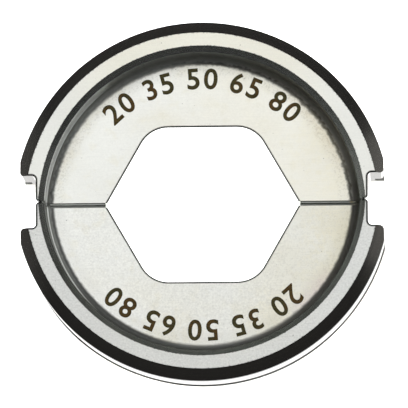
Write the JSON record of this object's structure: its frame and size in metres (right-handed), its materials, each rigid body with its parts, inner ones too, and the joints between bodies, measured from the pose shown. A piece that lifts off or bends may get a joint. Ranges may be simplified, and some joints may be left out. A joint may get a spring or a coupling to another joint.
{
  "type": "crimping die",
  "caption": "Closed half-round crimping die with a hexagonal crimp opening, recessed faces, a slotted back and side notches.",
  "frame": {"origin": "on the crimp axis, at the centre of the closed die's opening, level with the rear rims that it lies on", "axes": "+Z along the crimp axis, out of the front face; +X along the parting plane; +Y the pressing direction, towards the upper half"},
  "size_m": [0.0444, 0.044, 0.02],
  "materials": {
    "die_steel": "nickel-bright ground steel, satin"
  },
  "bodies": {
    "root": {"upper_half": "die_steel", "lower_half": "die_steel"}
  },
  "joints": []
}
